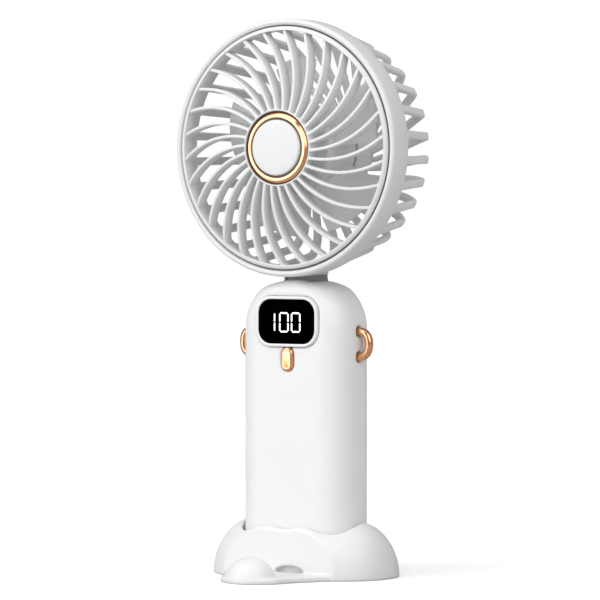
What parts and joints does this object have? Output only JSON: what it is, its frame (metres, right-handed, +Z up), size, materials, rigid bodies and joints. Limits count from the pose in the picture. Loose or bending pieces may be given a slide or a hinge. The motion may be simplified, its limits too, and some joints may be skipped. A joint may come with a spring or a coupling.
{
  "type": "handheld electric fan",
  "caption": "Pocket fan with a round caged head, swirl front grille, folding neck, display handle with lanyard loops, and a dome stand with a phone ledge.",
  "frame": {"origin": "on the handle's vertical axis, on the plane that the stand rests on", "axes": "+Z up, -Y is the way the fan blows, +X is on the right seen from the front"},
  "size_m": [0.096, 0.0722, 0.208],
  "materials": {
    "body_plastic": "satin moulded white",
    "head_plastic": "satin moulded white",
    "rose_gold": "polished rose gold plating",
    "display_black": "high gloss black window",
    "hinge_grey": "satin grey",
    "screw_steel": "bright zinc",
    "core_steel": "dark steel",
    "magnet": "sintered, matte",
    "bearing_brass": "turned",
    "copper_wire": "enamelled copper",
    "circuit_board": "solder mask",
    "rubber": "matte moulded",
    "battery_wrap": "foil pouch"
  },
  "bodies": {
    "stand": {"base_shell": "body_plastic", "base_bottom_plate": "body_plastic", "base_non_slip_pad": "rubber", "base_weight_left": "core_steel", "base_weight_right": "core_steel", "base_screw_1": "screw_steel", "base_screw_2": "screw_steel", "base_screw_3": "screw_steel"},
    "handle": {"handle_front_shell": "body_plastic", "handle_rear_cover": "body_plastic", "handle_screw_1": "screw_steel", "handle_screw_2": "screw_steel", "display_bezel": "body_plastic", "display_window": "display_black", "display_board": "circuit_board", "control_board": "circuit_board", "button_switch": "screw_steel", "battery_cell": "battery_wrap", "battery_pad": "rubber", "charging_board": "circuit_board", "usb_c_socket": "screw_steel", "lanyard_loop_left": "rose_gold", "lanyard_loop_right": "rose_gold", "hinge_pin": "screw_steel", "hinge_washer_left": "screw_steel", "hinge_washer_right": "screw_steel"},
    "power_button": {"power_button": "rose_gold"},
    "head": {"rear_housing": "head_plastic", "front_grille": "head_plastic", "hub_trim_ring": "rose_gold", "hub_cap": "head_plastic", "hinge_knuckle": "hinge_grey", "neck_screw_1": "screw_steel", "neck_screw_2": "screw_steel", "rear_hub_cover": "head_plastic", "motor_screw_1": "screw_steel", "motor_screw_2": "screw_steel", "motor_screw_3": "screw_steel", "motor_board": "circuit_board", "bearing_tube": "bearing_brass", "rear_bearing": "screw_steel", "front_bearing": "screw_steel", "stator_core": "core_steel", "stator_coil_1": "copper_wire", "stator_coil_2": "copper_wire", "stator_coil_3": "copper_wire", "stator_coil_4": "copper_wire"},
    "impeller": {"impeller": "head_plastic", "rotor_can": "screw_steel", "rotor_magnet": "magnet", "motor_shaft": "screw_steel", "shaft_clip": "screw_steel"}
  },
  "joints": [
    {"name": "handle_lift", "type": "slide", "parent": "stand", "child": "handle", "axis": [0, 0, 1], "range_m": [0, 0.06]},
    {"name": "head_fold", "type": "hinge", "parent": "handle", "child": "head", "pos_m": [0, 0.004, 0.104], "axis": [-1, 0, 0], "range_deg": [0, 90]},
    {"name": "impeller_spin", "type": "hinge", "parent": "head", "child": "impeller", "pos_m": [0, 0, 0.16], "axis": [0, -1, 0], "continuous": true},
    {"name": "button_press", "type": "slide", "parent": "handle", "child": "power_button", "axis": [0, 1, 0], "range_m": [0, 0.0005], "stiffness_N_per_m": 200, "springref_m": -0.0005}
  ]
}
